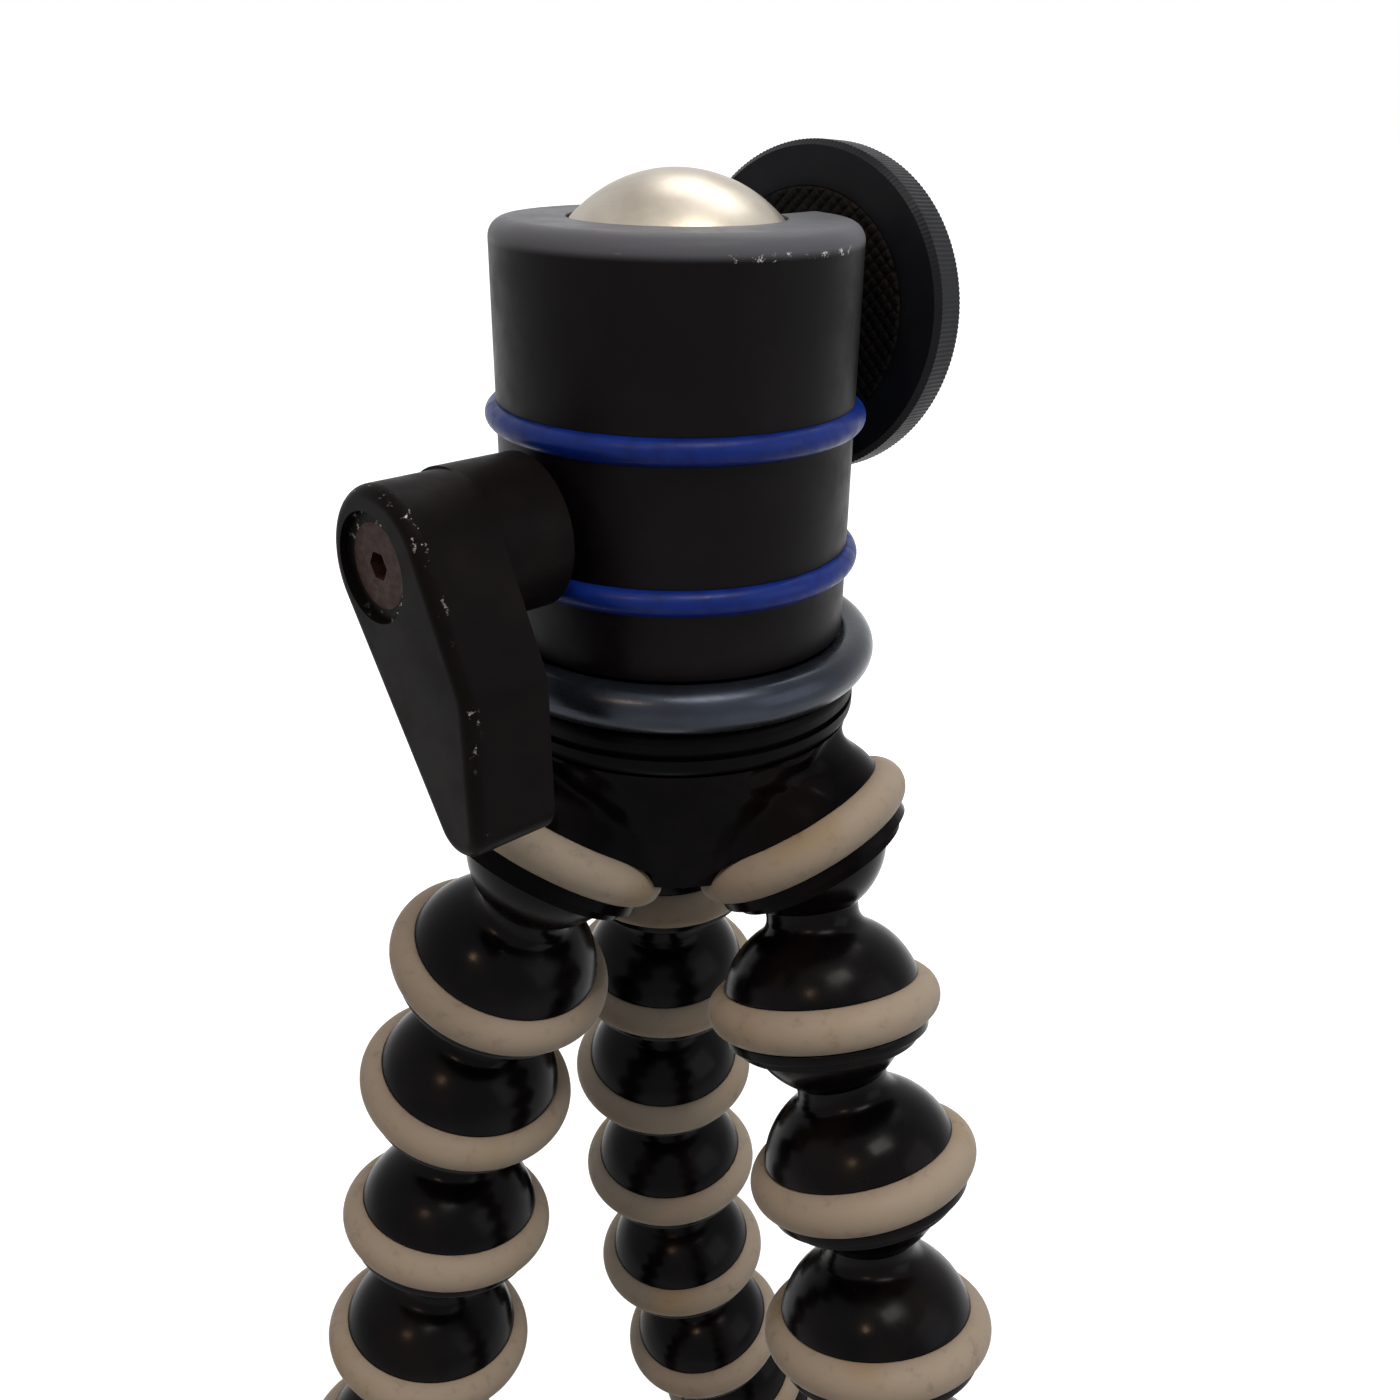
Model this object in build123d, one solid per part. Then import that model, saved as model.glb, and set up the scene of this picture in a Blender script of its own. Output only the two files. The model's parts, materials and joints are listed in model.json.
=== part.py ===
from build123d import *
import math
import os

# A small flexible-leg camera tripod with a ball head. All sizes are in millimetres, all angles in degrees.
# Heights are measured up from the floor, and the head stands on the Z axis until the last step,
# which moves the whole object so that its footprint is centred on the origin.

# Running clearances and a common overrun for cuts
running_clearance = 0.06
seat_clearance = 0.05
free_clearance = 0.3
cut_overrun = 5.0

# Leg segment: a ball, a neck, a bell with a rubber ring, and the socket for the next ball
ring_seat_radius = 12.95
socket_wall = 1.0
socket_clearance = 0.15
segment_ball_radius = ring_seat_radius - socket_wall - socket_clearance
ball_gap = 1.8
segment_pitch = 2 * segment_ball_radius + ball_gap
pivot_below_ring = 1.5
neck_radius = 6.65
neck_length = 2.2
neck_fillet = 1.2
neck_turn = 73.0
bell_step = 1.05
bell_edge_radius = ring_seat_radius + bell_step
bell_bulge = 1.45
ring_wall = 3.75
ring_upper_wall = 1.15
ring_lower_wall = 1.55
ring_outer_radius = ring_seat_radius + ring_wall
ring_upper_radius = ring_seat_radius + ring_upper_wall
ring_lower_radius = ring_seat_radius + ring_lower_wall
ring_height_above = 3.1
ring_height_below = 2.95
rim_step = 1.65
rim_radius = ring_seat_radius + rim_step
rim_height = 1.5
lip_step = 0.05
lip_radius = ring_seat_radius + lip_step
lip_height = 1.5
edge_round = 0.4

# Foot: a ball and neck like a segment's, with a bell and a rubber shoe
foot_reach = 18.2
foot_height = segment_ball_radius + foot_reach
foot_bell_radius = 12.6
foot_shoe_radius = 13.6
foot_shoe_height = 9.0
foot_sole_round = 3.2
foot_spigot_radius = 8.0
foot_spigot_height = 4.0

# Legs: how far each segment leans from vertical and which way, from the hub down
hub_turn = 4.0
leg_headings = {"left": 210.0 + hub_turn, "right": 330.0 + hub_turn, "back": 90.0 + hub_turn}
leg_leans = {
    "left": [(22, 161), (16, 163), (12, 219), (11, 204), (14, 206), (15, 208), (16, 210), (17, 210)],
    "right": [(22, 291), (23, 310), (19, 288), (14, 300), (12, 308), (11, 315), (10, 320), (9, 325)],
    "back": [(7, 90), (8, 94), (8, 89), (4, 28), (6, 5), (11, 9), (26, 50), (29, 60)],
}
levelled_segments = 3
levelling_angle = 40.0
levelling_steps = 50

# Hub: a tapered core with three tilted sockets and their rubber grips
socket_spread = 8.8
socket_reach = segment_ball_radius + socket_spread
socket_tilt = 34.0
hub_top_radius = 24.6
hub_bottom_radius = 20.5
hub_height = 19.5
hub_base_below_pivot = 1.8
socket_bell_wall = 2.55
socket_bell_radius = segment_ball_radius + socket_bell_wall
hub_blend = 1.3
hub_sections = 10
hub_section_points = 48
hub_core_inset = 0.8
grip_half_sweep = 128.0
hub_roof = 6.0
cap_radius = 7.5
cap_thickness = 2.0

# Base plate, washer, base screw and lock ring
plate_radius = 25.1
plate_height = 6.1
plate_round = 1.5
plate_groove_depth = 0.8
plate_groove_width = 1.0
boss_radius = 21.92
boss_height = 3.3
washer_radius = 20.8
washer_thickness = 0.6
screw_radius = 4.76
screw_head_radius = 7.15
screw_head_height = 5.6
screw_key_across_flats = 7.9
screw_key_depth = 3.0
screw_end_cover = 3.1
lock_ring_bore_radius = 21.98
lock_ring_outer_radius = 27.54
lock_ring_section_radius = 3.04
lock_ring_lift = 0.35

# Ball head housing
housing_radius = 23.0
housing_height = 51.8
housing_bore_radius = 19.2
rim_edge_round = 2.4
opening_radius = 13.6
lip_thickness = 4.8
base_disc_radius = 21.0
base_disc_height = 2.6
base_spigot_below_cam = 3.55
oring_section_radius = 1.7
oring_sunk = 0.25
oring_centre_radius = housing_radius - oring_sunk
oring_spacing = 18.3
upper_oring_below_rim = 23.4

# Ball, stem and the notch that the stem drops into
ball_radius = 17.8
ball_centre_below_rim = 12.2
stem_radius = 5.5
stem_heading = 48.4
stem_droop = 3.5
stem_spigot_radius = 5.0
notch_side_clearance = 0.7
upper_seat_height = 6.5

# Clamp: pressure ring, cam shaft, bush, lever and its screw
lever_heading = 223.4
lever_axis_below_oring = 11.0
pressure_ring_bore_radius = 6.5
pressure_ring_clearance = 0.2
pressure_ring_radius = housing_bore_radius - pressure_ring_clearance
pressure_ring_top_below_ball = 8.0
shaft_radius = 4.0
shaft_far_cover = 2.5
shaft_far_end = housing_radius - shaft_far_cover
cam_lift = 0.35
cam_start = 9.0
cam_length = 7.0
bush_outer_radius = 5.2
bush_inset = 0.1
bush_inner_end = housing_bore_radius + bush_inset
boss_gap = 2.0
boss_start = housing_radius + boss_gap
lever_boss_radius = 9.5
boss_length = 10.2
lever_inner_face = boss_start + boss_length
lever_thickness = 11.0
lever_outer_face = lever_inner_face + lever_thickness
shaft_in_lever = 1.3
shaft_near_end = lever_inner_face + shaft_in_lever
lever_head_radius = 9.4
lever_head_across = 1.0
lever_middle_radius = 8.3
lever_middle_across = 8.6
lever_middle_down = 13.0
lever_tip_radius = 4.2
lever_tip_across = 13.0
lever_tip_down = 27.2
lever_edge_round = 1.6
counterbore_radius = 6.4
counterbore_depth = 1.0
lever_screw_head_radius = 5.0
lever_screw_head_height = 2.8
lever_screw_radius = 2.5
lever_screw_length = 14.0
hex_key_across_flats = 3.0
hex_key_depth = 2.2

# Camera platform
platform_radius = 22.3
platform_thickness = 6.0
platform_gap = 3.2
platform_distance = housing_radius + platform_gap
platform_edge = 0.8
top_pad_radius = 19.5
top_pad_bore_radius = 7.5
top_pad_thickness = 1.4
top_pad_recess = 0.8
under_grip_radius = 16.3
under_grip_bore_radius = 6.5
under_grip_thickness = 1.0
under_grip_recess = 0.7
camera_screw_radius = 3.175
camera_screw_length = 4.8
camera_screw_flange_radius = 6.4
camera_screw_flange_height = 1.4
camera_screw_tail_radius = 3.0
camera_screw_tail_length = 5.0

pivot_to_ring = segment_pitch - pivot_below_ring
down = Vector(0, 0, -1)


def direction(lean, heading):
    """Unit vector that leans from straight down towards a compass heading."""
    a, b = math.radians(lean), math.radians(heading)
    return Vector(math.sin(a) * math.cos(b), math.sin(a) * math.sin(b), -math.cos(a))


def outward(heading):
    """Horizontal unit vector along a heading."""
    return Vector(math.cos(math.radians(heading)), math.sin(math.radians(heading)), 0)


def on_axis(point, axis, across=None):
    """Location whose Z runs along axis from point, with X turned across."""
    side = across or axis.cross(Vector(0, 0, 1))
    if side.length == 0:
        side = Vector(1, 0, 0)
    return Plane(origin=point, x_dir=side, z_dir=axis).location


def revolved(face):
    """Solid of revolution about Z of a face drawn with X outwards and Z up."""
    return Solid.revolve(face, 360, Axis.Z)


def outline(*edges):
    """Face in the XZ plane from edges given end to end."""
    return Face(Wire(list(edges)))


def line(a, b):
    """Straight edge between two (radius, height) points."""
    return Edge.make_line((a[0], 0, a[1]), (b[0], 0, b[1]))


def arc(a, b, c):
    """Edge through three (radius, height) points."""
    return Edge.make_three_point_arc((a[0], 0, a[1]), (b[0], 0, b[1]), (c[0], 0, c[1]))


def rod(radius, bottom, top):
    """Cylinder about Z from one height to another."""
    return Solid.make_cylinder(radius, top - bottom, Plane(origin=(0, 0, bottom)))


def tube(outer, inner, bottom, top):
    """Plain ring about Z."""
    return rod(outer, bottom, top) - rod(inner, bottom - cut_overrun, top + cut_overrun)


def sphere(radius, centre=Vector(0, 0, 0)):
    """Whole ball at a point."""
    return Solid.make_sphere(radius, Plane(origin=centre), -90, 90, 360)


def only_solid(shape):
    """The largest solid of a shape, so that a cut gives one solid."""
    return max(shape.solids(), key=lambda s: s.volume)


def ball_and_neck(bell_radius, bell_end):
    """Outline points and edges of a ball, its neck and the curved bell below, with heights along the leg."""
    neck_start = math.sqrt(segment_ball_radius**2 - neck_radius**2)
    neck_end = neck_start + neck_length
    whole, half = math.radians(neck_turn), math.radians(neck_turn / 2)
    root = (neck_radius + neck_fillet * (1 - math.cos(whole)), neck_end + neck_fillet * math.sin(whole))
    waist = (neck_radius + neck_fillet * (1 - math.cos(half)), neck_end + neck_fillet * math.sin(half))
    end = (bell_radius, bell_end)
    run = (end[0] - root[0], end[1] - root[1])
    span = math.hypot(*run)
    bulge = (
        (root[0] + end[0]) / 2 + run[1] / span * bell_bulge,
        (root[1] + end[1]) / 2 - run[0] / span * bell_bulge,
    )
    edges = [
        arc((0, -segment_ball_radius), (segment_ball_radius, 0), (neck_radius, neck_start)),
        line((neck_radius, neck_start), (neck_radius, neck_end)),
        arc((neck_radius, neck_end), waist, root),
        arc(root, bulge, end),
    ]
    return edges, end


def segment_shell():
    """One moulded leg segment, with its ball at the origin and its socket further along +Z."""
    ring_top = pivot_to_ring - ring_height_above
    ring_bottom = pivot_to_ring + ring_height_below
    rim_end = ring_bottom + rim_height
    lip_end = rim_end + lip_height
    edges, end = ball_and_neck(bell_edge_radius, ring_top)
    path = [
        end,
        (ring_seat_radius, ring_top),
        (ring_seat_radius, ring_bottom),
        (rim_radius, ring_bottom),
        (rim_radius, rim_end),
        (lip_radius, rim_end),
        (lip_radius, lip_end),
        (0, lip_end),
        (0, -segment_ball_radius),
    ]
    edges += [line(a, b) for a, b in zip(path, path[1:])]
    body = revolved(outline(*edges))
    socket = sphere(segment_ball_radius + socket_clearance, Vector(0, 0, segment_pitch))
    return only_solid(body - socket)


def segment_ring():
    """The rubber ring moulded round a segment, in the segment's own frame."""
    top = pivot_to_ring - ring_height_above + seat_clearance
    bottom = pivot_to_ring + ring_height_below - seat_clearance
    inner = ring_seat_radius + seat_clearance
    face = outline(
        line((inner, top), (ring_upper_radius, top)),
        arc((ring_upper_radius, top), (ring_outer_radius, pivot_to_ring), (ring_lower_radius, bottom)),
        line((ring_lower_radius, bottom), (inner, bottom)),
        line((inner, bottom), (inner, top)),
    )
    return revolved(face)


def foot_shell():
    """The last ball, neck and bell of a leg, with a spigot for its shoe."""
    seat = foot_height - foot_shoe_height
    edges, end = ball_and_neck(foot_bell_radius, seat)
    spigot = seat + foot_spigot_height
    path = [
        end, (foot_spigot_radius, seat), (foot_spigot_radius, spigot), (0, spigot), (0, -segment_ball_radius)
    ]
    edges += [line(a, b) for a, b in zip(path, path[1:])]
    return revolved(outline(*edges))


def foot_shoe():
    """The rubber shoe with its flat sole."""
    seat = foot_height - foot_shoe_height
    shoe = rod(foot_shoe_radius, seat, foot_height)
    rim = shoe.edges().filter_by(GeomType.CIRCLE).sort_by(Axis.Z)
    shoe = shoe.fillet(foot_sole_round, [rim[-1]])
    shoe = shoe.fillet(edge_round, [shoe.edges().filter_by(GeomType.CIRCLE).sort_by(Axis.Z)[0]])
    hole = rod(
        foot_spigot_radius + seat_clearance, seat - cut_overrun, seat + foot_spigot_height + seat_clearance
    )
    return only_solid(shoe - hole)


def levelled_leans(name, drop_share):
    """A leg's leans, with its last ones opened out until it drops by the given number of pitches."""
    leans = leg_leans[name]

    def opened(extra):
        fixed = len(leans) - levelled_segments
        return [(a + (extra if i >= fixed else 0), b) for i, (a, b) in enumerate(leans)]

    low, high = 0, levelling_angle
    for _ in range(levelling_steps):
        middle = (low + high) / 2
        if natural_drop(opened(middle)) > drop_share:
            low = middle
        else:
            high = middle
    return opened(low)


def natural_drop(leans):
    """How many pitches a run of segments comes down."""
    return sum(math.cos(math.radians(a)) for a, b in leans)


drop_in_pitches = min(natural_drop(v) for v in leg_leans.values())
hub_pivot_height = drop_in_pitches * segment_pitch + foot_height

# Heights of the fixed parts, worked upwards from the socket pivots
hub_bottom = hub_pivot_height - hub_base_below_pivot
hub_top = hub_bottom + hub_height
plate_top = hub_top + plate_height
boss_top = plate_top + boss_height
washer_top = boss_top + washer_thickness
housing_bottom = washer_top + base_disc_height
rim_top = housing_bottom + housing_height
ball_height = rim_top - ball_centre_below_rim
upper_oring_height = rim_top - upper_oring_below_rim
lower_oring_height = upper_oring_height - oring_spacing
lever_height = upper_oring_height - lever_axis_below_oring
spigot_top = lever_height - shaft_radius - cam_lift - base_spigot_below_cam
base_screw_end = spigot_top - screw_end_cover
ball_centre = Vector(0, 0, ball_height)
stem_direction = direction(90.0 - stem_droop, stem_heading)
lever_direction = outward(lever_heading)


def leg_frames(name):
    """Pivot, direction and parent's direction of each segment of a leg, and of its foot."""
    heading = leg_headings[name]
    pivot = outward(heading) * socket_reach + Vector(0, 0, hub_pivot_height)
    before = direction(socket_tilt, heading)
    frames = []
    for lean, way in levelled_leans(name, drop_in_pitches):
        along = direction(lean, way)
        frames.append((pivot, along, before))
        pivot = pivot + along * segment_pitch
        before = along
    frames.append((pivot, down, before))
    return frames


def bend_axis(name, number, along):
    """Axis of a leg joint, square to the segment: in and out for odd ones, sideways for even ones."""
    out = outward(leg_headings[name])
    side = Vector(0, 0, 1).cross(out)
    side = (side - along * side.dot(along)).normalized()
    return side if number % 2 else along.cross(side)


def leg(name):
    """All segments and the foot of one leg, as node name to shape."""
    parts = {}
    shell, ring = segment_shell(), segment_ring()
    frames = leg_frames(name)
    for number, (pivot, along, _) in enumerate(frames[:-1], 1):
        place = on_axis(pivot, along)
        parts[f"leg_{name}_segment_{number}"] = Compound([shell.moved(place), ring.moved(place)])
    place = on_axis(frames[-1][0], down)
    parts[f"leg_{name}_foot"] = foot_shell().moved(place)
    parts[f"leg_{name}_shoe"] = foot_shoe().moved(place)
    return parts


def socket_frame(heading):
    """Location of a hub socket: its Z runs out of the mouth, its X points up and outwards."""
    along = direction(socket_tilt, heading)
    pivot = outward(heading) * socket_reach + Vector(0, 0, hub_pivot_height)
    up_and_out = outward(heading) - along * outward(heading).dot(along)
    return on_axis(pivot, along, up_and_out)


def hub_radius(turn, height):
    """Distance from the axis to the hub's side: its core and three round bells, blended smoothly."""
    share = (height - hub_bottom) / hub_height
    reaches = [hub_bottom_radius + (hub_top_radius - hub_bottom_radius) * share]
    for heading in leg_headings.values():
        along = direction(socket_tilt, heading)
        centre = outward(heading) * socket_reach + Vector(0, 0, hub_pivot_height) - along * pivot_below_ring
        ahead = centre.dot(outward(turn))
        aside = (centre - outward(turn) * ahead).X ** 2 + (centre - outward(turn) * ahead).Y ** 2
        room = socket_bell_radius**2 - (height - centre.Z) ** 2 - aside
        reaches.append(ahead + math.copysign(math.sqrt(abs(room)), room))
    return hub_blend * math.log(sum(math.exp(reach / hub_blend) for reach in reaches))


def hub_body():
    """Solid through closed curves at even heights, for the hub's blended side."""
    curves = []
    for level in range(hub_sections + 1):
        height = hub_bottom + hub_height * level / hub_sections
        points = []
        for step in range(hub_section_points):
            turn = 360 * step / hub_section_points
            points.append(outward(turn) * hub_radius(turn, height) + Vector(0, 0, height))
        curves.append(Wire([Edge.make_spline(points, periodic=True)]))
    return Solid.make_loft(curves)


def hub_shell():
    """The moulded hub: a tapered core blended into three bells, with the three sockets cut in."""
    ring_plane = -pivot_below_ring
    bell_end = ring_plane - ring_height_above
    rim_start = ring_plane + ring_height_below
    rim_end = rim_start + rim_height
    lip_end = rim_end + lip_height
    far = hub_height + hub_top_radius
    places = [socket_frame(h) for h in leg_headings.values()]
    spread = (hub_top_radius - hub_bottom_radius) * cut_overrun / hub_height
    core = Solid.make_cone(
        hub_bottom_radius - hub_core_inset - spread,
        hub_top_radius - hub_core_inset + spread,
        hub_height + 2 * cut_overrun,
        Plane(origin=(0, 0, hub_bottom - cut_overrun)),
    )
    hub = hub_body()
    for place in places:
        hub = hub - (rod(far, bell_end, far).moved(place) - core)
    collar = rod(ring_seat_radius, bell_end - edge_round, rim_start + edge_round)
    collar = collar + rod(rim_radius, rim_start, rim_end) + rod(lip_radius, rim_end - edge_round, lip_end)
    for place in places:
        hub = hub + collar.moved(place)
    groove = grip_solid(ring_seat_radius, seat_clearance)
    for place in places:
        hub = hub - sphere(segment_ball_radius + socket_clearance).moved(place)
        hub = hub - rod(far, lip_end, far).moved(place)
        hub = hub - groove.moved(place)
    hub = hub - rod(cap_radius + seat_clearance, hub_bottom - cut_overrun, hub_top - hub_roof)
    hub = hub - rod(screw_radius + free_clearance, hub_bottom, hub_top + cut_overrun)
    hub = hub - rod(far + socket_reach, hub_top, hub_top + far)
    return only_solid(hub)


def grip_solid(inner, grow):
    """An open ring with round ends, as a solid about the socket's axis, grown all round by an amount."""
    ring_plane = -pivot_below_ring
    top = ring_plane - ring_height_above - grow + seat_clearance
    bottom = ring_plane + ring_height_below + grow - seat_clearance
    face = outline(
        line((inner, top), (ring_upper_radius + grow, top)),
        arc(
            (ring_upper_radius + grow, top),
            (ring_outer_radius + grow, ring_plane),
            (ring_lower_radius + grow, bottom),
        ),
        line((ring_lower_radius + grow, bottom), (inner, bottom)),
        line((inner, bottom), (inner, top)),
    )
    sweep = 2 * grip_half_sweep
    band = Solid.revolve(face.rotate(Axis.Z, -grip_half_sweep), sweep, Axis.Z)
    end_radius = (bottom - top) / 2
    middle = (top + bottom) / 2
    centre = ring_outer_radius + grow - end_radius
    for side in (-1, 1):
        a = math.radians(side * grip_half_sweep)
        band = band + sphere(end_radius, Vector(centre * math.cos(a), centre * math.sin(a), middle))
    return only_solid(band - rod(inner, top - cut_overrun, bottom + cut_overrun))


def hub_grip(heading):
    """The beige rubber grip over one hub socket."""
    return grip_solid(ring_seat_radius + seat_clearance, 0).moved(socket_frame(heading))


def hub_cap():
    """Round cap that closes the screw well under the hub."""
    return rod(cap_radius, hub_bottom, hub_bottom + cap_thickness)


def hexagon(across_flats, bottom, depth):
    """Hexagonal bar about Z."""
    return extrude(
        Plane(origin=(0, 0, bottom)) * RegularPolygon(across_flats / 2, 6, major_radius=False), depth
    )


def base_screw():
    """Socket-head screw that holds the ball head down on the hub."""
    head_top = hub_top - hub_roof
    head_bottom = head_top - screw_head_height
    screw = rod(screw_head_radius, head_bottom, head_top)
    screw = screw + rod(screw_radius, head_top - edge_round, base_screw_end)
    key = hexagon(screw_key_across_flats, head_bottom - cut_overrun, screw_key_depth + cut_overrun)
    return only_solid(screw - key)


def base_plate():
    """Round metal plate on the hub, with a groove in its edge and the boss that carries the lock ring."""
    plate = rod(plate_radius, hub_top, plate_top)
    plate = plate.fillet(plate_round, plate.edges().filter_by(GeomType.CIRCLE))
    middle = (hub_top + plate_top) / 2
    groove = tube(
        plate_radius + cut_overrun,
        plate_radius - plate_groove_depth,
        middle - plate_groove_width / 2,
        middle + plate_groove_width / 2,
    )
    plate = plate - groove + rod(boss_radius, plate_top - plate_round, boss_top)
    bore = rod(screw_radius + free_clearance, hub_top - cut_overrun, boss_top + cut_overrun)
    return only_solid(plate - bore)


def base_washer():
    """Thin rubber washer between the plate's boss and the head."""
    return tube(washer_radius, screw_radius + free_clearance, boss_top, washer_top)


def lock_ring():
    """Round-section metal ring that turns on the plate's boss."""
    centre = lock_ring_outer_radius - lock_ring_section_radius
    height = plate_top + lock_ring_lift + lock_ring_section_radius
    ring = Solid.make_torus(centre, lock_ring_section_radius, Plane(origin=(0, 0, height)))
    bore = rod(lock_ring_bore_radius, height - cut_overrun, height + cut_overrun)
    return only_solid(ring - bore)


def head_base():
    """Foot of the ball head: a disc and a spigot, with the threaded hole for the base screw."""
    disc = rod(base_disc_radius, washer_top, housing_bottom)
    spigot = rod(housing_bore_radius - seat_clearance, housing_bottom - edge_round, spigot_top)
    hole = rod(screw_radius + running_clearance, washer_top - cut_overrun, base_screw_end + free_clearance)
    return only_solid(disc + spigot - hole)


def lever_frame():
    """Location whose Z runs out along the lever's axis, with X level and Y up."""
    across = Vector(0, 0, 1).cross(lever_direction)
    return on_axis(Vector(0, 0, lever_height), lever_direction, across)


def stem_slot(radius):
    """Slot from the ball's centre out along the stem and up through the rim."""
    reach = housing_radius + cut_overrun
    frame = on_axis(ball_centre, stem_direction, Vector(0, 0, 1).cross(stem_direction).normalized())
    round_part = Solid.make_cylinder(radius, reach)
    height = ball_centre_below_rim + cut_overrun
    block = Solid.make_box(2 * radius, height, reach, Plane(origin=(-radius, 0, 0)))
    return (round_part + block).moved(frame)


def housing():
    """The round housing with its bore, lip, drop notch, two ring grooves and the clamp's bores."""
    lip_bottom = rim_top - lip_thickness
    body = rod(housing_radius, housing_bottom, rim_top)
    body = body.fillet(rim_edge_round, [body.edges().filter_by(GeomType.CIRCLE).sort_by(Axis.Z)[-1]])
    body = body - rod(housing_bore_radius, housing_bottom - cut_overrun, lip_bottom)
    body = body - sphere(ball_radius + free_clearance, ball_centre)
    body = body - rod(opening_radius, lip_bottom - cut_overrun, rim_top + cut_overrun)
    body = body - stem_slot(stem_radius + notch_side_clearance)
    for height in (upper_oring_height, lower_oring_height):
        ring = Solid.make_torus(
            oring_centre_radius, oring_section_radius + seat_clearance, Plane(origin=(0, 0, height))
        )
        body = body - ring
    frame = lever_frame()
    near = Solid.make_cylinder(bush_outer_radius + seat_clearance, housing_radius + cut_overrun)
    far = Solid.make_cylinder(
        shaft_radius + running_clearance, shaft_far_end + free_clearance,
        Plane(origin=(0, 0, 0), z_dir=(0, 0, -1))
    )
    body = body - near.moved(frame) - far.moved(frame)
    return only_solid(body)


def oring(height):
    """Rubber ring of round section, half sunk in the housing."""
    return Solid.make_torus(oring_centre_radius, oring_section_radius, Plane(origin=(0, 0, height)))


def upper_seat():
    """Plastic ring that the ball turns against, under the housing's lip."""
    top = rim_top - lip_thickness - seat_clearance
    seat = rod(housing_bore_radius - seat_clearance, top - upper_seat_height, top)
    seat = seat - sphere(ball_radius + seat_clearance, ball_centre)
    return only_solid(seat - stem_slot(stem_radius + notch_side_clearance))


def pressure_ring():
    """Ring that the cam shaft lifts against the ball to clamp it."""
    bottom = lever_height + shaft_radius + cam_lift + seat_clearance
    top = ball_height - pressure_ring_top_below_ball
    ring = rod(pressure_ring_radius, bottom, top)
    ring = ring - sphere(ball_radius + seat_clearance, ball_centre)
    return only_solid(ring - rod(pressure_ring_bore_radius, bottom - cut_overrun, top))


def ball():
    """The ball, its stem and the spigot that the platform turns on, as one turned piece."""
    spigot_end = platform_distance + platform_thickness - top_pad_recess - camera_screw_flange_height
    stem = Solid.make_cylinder(stem_radius, platform_distance - seat_clearance)
    spigot = Solid.make_cylinder(stem_spigot_radius, spigot_end - seat_clearance)
    hole_start = spigot_end - camera_screw_tail_length - free_clearance
    hole = Solid.make_cylinder(
        camera_screw_tail_radius + running_clearance, platform_distance, Plane(origin=(0, 0, hole_start))
    )
    frame = on_axis(ball_centre, stem_direction)
    turned = sphere(ball_radius) + stem + spigot - hole
    return only_solid(turned).moved(frame)


def cam_shaft():
    """Shaft across the housing with two raised cams, drilled for the lever's screw."""
    start = -shaft_far_end
    shaft = rod(shaft_radius, start, shaft_near_end)
    for low in (cam_start, -cam_start - cam_length):
        cam = rod(shaft_radius, low, low + cam_length)
        shaft = shaft + cam.moved(Location((0, cam_lift, 0)))
    tail = lever_outer_face - counterbore_depth - lever_screw_length
    hole = rod(lever_screw_radius + seat_clearance, tail - free_clearance, shaft_near_end + cut_overrun)
    return only_solid(shaft - hole).moved(lever_frame())


def shaft_bush():
    """Bush in the housing's wall that carries the shaft, up to the lever's boss."""
    bush = tube(
        bush_outer_radius, shaft_radius + running_clearance, bush_inner_end, boss_start - seat_clearance
    )
    return bush.moved(lever_frame())


def lever_outline():
    """Outline of the lever: straight lines tangent to three circles, as a face square to its axis."""
    circles = [
        (Vector(lever_head_across, 0), lever_head_radius),
        (Vector(lever_middle_across, -lever_middle_down), lever_middle_radius),
        (Vector(lever_tip_across, -lever_tip_down), lever_tip_radius),
    ]
    turns = []
    for (start, start_radius), (end, end_radius) in zip(circles, circles[1:] + circles[:1]):
        link = end - start
        turns.append(math.atan2(link.Y, link.X) + math.acos((start_radius - end_radius) / link.length))
    edges = []
    for (centre, radius), before, after in zip(circles, turns[-1:] + turns, turns):
        swing = (before - after) % math.tau
        corners = [
            centre + Vector(math.cos(t), math.sin(t)) * radius
            for t in (before, before - swing / 2, after)
        ]
        edges.append(Edge.make_three_point_arc(*corners))
    links = [Edge.make_line(a.position_at(1), b.position_at(0)) for a, b in zip(edges, edges[1:] + edges[:1])]
    return Face(Wire([edge for pair in zip(edges, links) for edge in pair]))


def lever():
    """The drop-shaped lever with its round boss, countersunk for the screw."""
    thickness = lever_outer_face - lever_inner_face
    blade = extrude(lever_outline().moved(Location((0, 0, lever_inner_face))), thickness, dir=(0, 0, 1))
    blade = only_solid(blade)
    outer_edges = [e for e in blade.edges() if abs(e.center().Z - lever_outer_face) < edge_round]
    blade = blade.fillet(lever_edge_round, outer_edges)
    body = blade + rod(lever_boss_radius, boss_start, lever_inner_face + edge_round)
    body = body - rod(
        shaft_radius + seat_clearance, boss_start - cut_overrun, shaft_near_end + seat_clearance
    )
    seat = lever_outer_face - counterbore_depth
    body = body - rod(counterbore_radius, seat, lever_outer_face + cut_overrun)
    cone = Solid.make_cone(
        lever_screw_radius,
        lever_screw_head_radius,
        lever_screw_head_height,
        Plane(origin=(0, 0, seat - lever_screw_head_height)),
    )
    body = body - cone - rod(lever_screw_radius + seat_clearance, shaft_near_end - edge_round, seat)
    return only_solid(body).moved(lever_frame())


def lever_screw():
    """Countersunk screw with a hexagon socket."""
    seat = lever_outer_face - counterbore_depth
    cone = Solid.make_cone(
        lever_screw_radius - seat_clearance,
        lever_screw_head_radius - seat_clearance,
        lever_screw_head_height,
        Plane(origin=(0, 0, seat - lever_screw_head_height)),
    )
    screw = cone + rod(lever_screw_radius, seat - lever_screw_length, seat - lever_screw_head_height)
    key = hexagon(hex_key_across_flats, seat - hex_key_depth, hex_key_depth + cut_overrun)
    return only_solid(screw - key).moved(lever_frame())


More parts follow.
